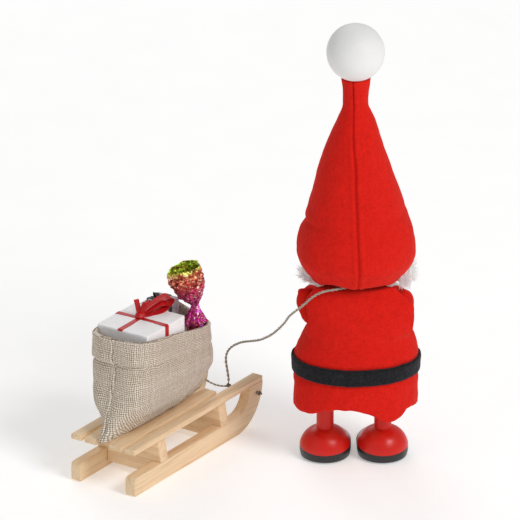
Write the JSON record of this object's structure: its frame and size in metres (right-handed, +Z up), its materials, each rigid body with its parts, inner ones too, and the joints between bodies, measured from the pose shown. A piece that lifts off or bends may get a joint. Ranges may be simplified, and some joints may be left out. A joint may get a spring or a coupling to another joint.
{
  "type": "tomte gnome figurine",
  "caption": "Wooden and felt gnome with a tall pointed hat ending in a ball, towing a small wooden sled that carries a linen sack of wrapped presents and a foil sweet.",
  "frame": {"origin": "centre of the footprint on the floor, under the feet and the runners", "axes": "+Z up, through the hat's ball; the gnome faces -Y; the sled stands at the gnome's left (+X), its front turned towards the gnome's front"},
  "size_m": [0.1198, 0.0801, 0.16],
  "materials": {
    "inner_wood": "sanded, unpainted",
    "felt_washer": "pressed felt",
    "steel_pin": "bright",
    "red_felt": "pressed wool felt",
    "black_felt": "pressed wool felt",
    "white_felt": "pressed wool felt",
    "red_leg_paint": "painted, satin",
    "red_foot_paint": "painted, semi-gloss",
    "black_foot_paint": "painted, semi-gloss",
    "flesh_wood": "painted, matte",
    "eye_paint": "glossy bead",
    "white_wool": "combed wool",
    "white_ball_paint": "painted, matte",
    "pine": "planed, unpainted",
    "linen": "coarse plain weave",
    "wadding": "loose",
    "white_paper": "matte",
    "red_ribbon": "satin",
    "grey_paper": "matte",
    "dark_ribbon": "satin",
    "sweet_body": "smooth",
    "foil": "shiny metallised foil",
    "twine": "twisted linen",
    "twine_knot": "twisted linen, dark"
  },
  "bodies": {
    "figure": {"body_core": "inner_wood", "neck_dowel": "inner_wood", "neck_washer": "felt_washer", "arm_axle": "steel_pin", "coat": "red_felt", "belt": "black_felt", "left_leg": "red_leg_paint", "right_leg": "red_leg_paint", "left_stocking": "red_foot_paint", "right_stocking": "red_foot_paint", "left_clog": "black_foot_paint", "right_clog": "black_foot_paint", "tow_twine": "twine"},
    "head": {"head": "flesh_wood", "nose": "flesh_wood", "eyes": "eye_paint", "moustache": "white_wool", "beard": "white_wool", "hat": "red_felt", "hat_dowel": "inner_wood", "hat_ball": "white_ball_paint"},
    "left_arm": {"left_arm": "inner_wood", "left_sleeve": "red_felt", "left_mitten": "white_felt"},
    "right_arm": {"right_arm": "inner_wood", "right_sleeve": "red_felt", "right_mitten": "white_felt"},
    "sled": {"left_runner": "pine", "right_runner": "pine", "left_bar": "pine", "right_bar": "pine", "left_slat": "pine", "right_slat": "pine", "front_bearer": "pine", "rear_bearer": "pine", "tow_knot": "twine_knot", "bridle": "twine", "left_knot": "twine_knot", "right_knot": "twine_knot"},
    "sack": {"sack": "linen", "sack_filling": "wadding"},
    "white_gift": {"white_gift": "white_paper", "gift_ribbon": "red_ribbon", "gift_bow": "red_ribbon"},
    "dark_gift": {"dark_gift": "grey_paper", "dark_gift_band": "dark_ribbon"},
    "sweet": {"sweet_core": "sweet_body", "sweet_wrapper": "foil"}
  },
  "joints": [
    {"name": "head_turn", "type": "hinge", "parent": "figure", "child": "head", "pos_m": [-0.038, 0.004, 0.07], "axis": [0, 0, 1], "range_deg": [-20, 20]},
    {"name": "left_arm_raise", "type": "hinge", "parent": "figure", "child": "left_arm", "pos_m": [-0.0216, 0.0055, 0.0583], "axis": [-1, 0, 0], "range_deg": [0, 20]},
    {"name": "right_arm_raise", "type": "hinge", "parent": "figure", "child": "right_arm", "pos_m": [-0.0544, 0.0055, 0.0583], "axis": [-1, 0, 0], "range_deg": [0, 20]},
    {"name": "sled_slide", "type": "slide", "parent": "figure", "child": "sled", "axis": [-0.5592, -0.829, 0], "range_m": [-0.006, 0.01], "deforming": ["tow_twine"]},
    {"name": "sack_lift", "type": "slide", "parent": "sled", "child": "sack", "axis": [0, 0, 1], "range_m": [0, 0.03]},
    {"name": "gift_lift", "type": "slide", "parent": "sack", "child": "white_gift", "axis": [0, 0, 1], "range_m": [0, 0.025]},
    {"name": "small_gift_lift", "type": "slide", "parent": "sack", "child": "dark_gift", "axis": [0, 0, 1], "range_m": [0, 0.005]},
    {"name": "sweet_lift", "type": "slide", "parent": "sack", "child": "sweet", "axis": [0, 0, 1], "range_m": [0, 0.03]}
  ]
}
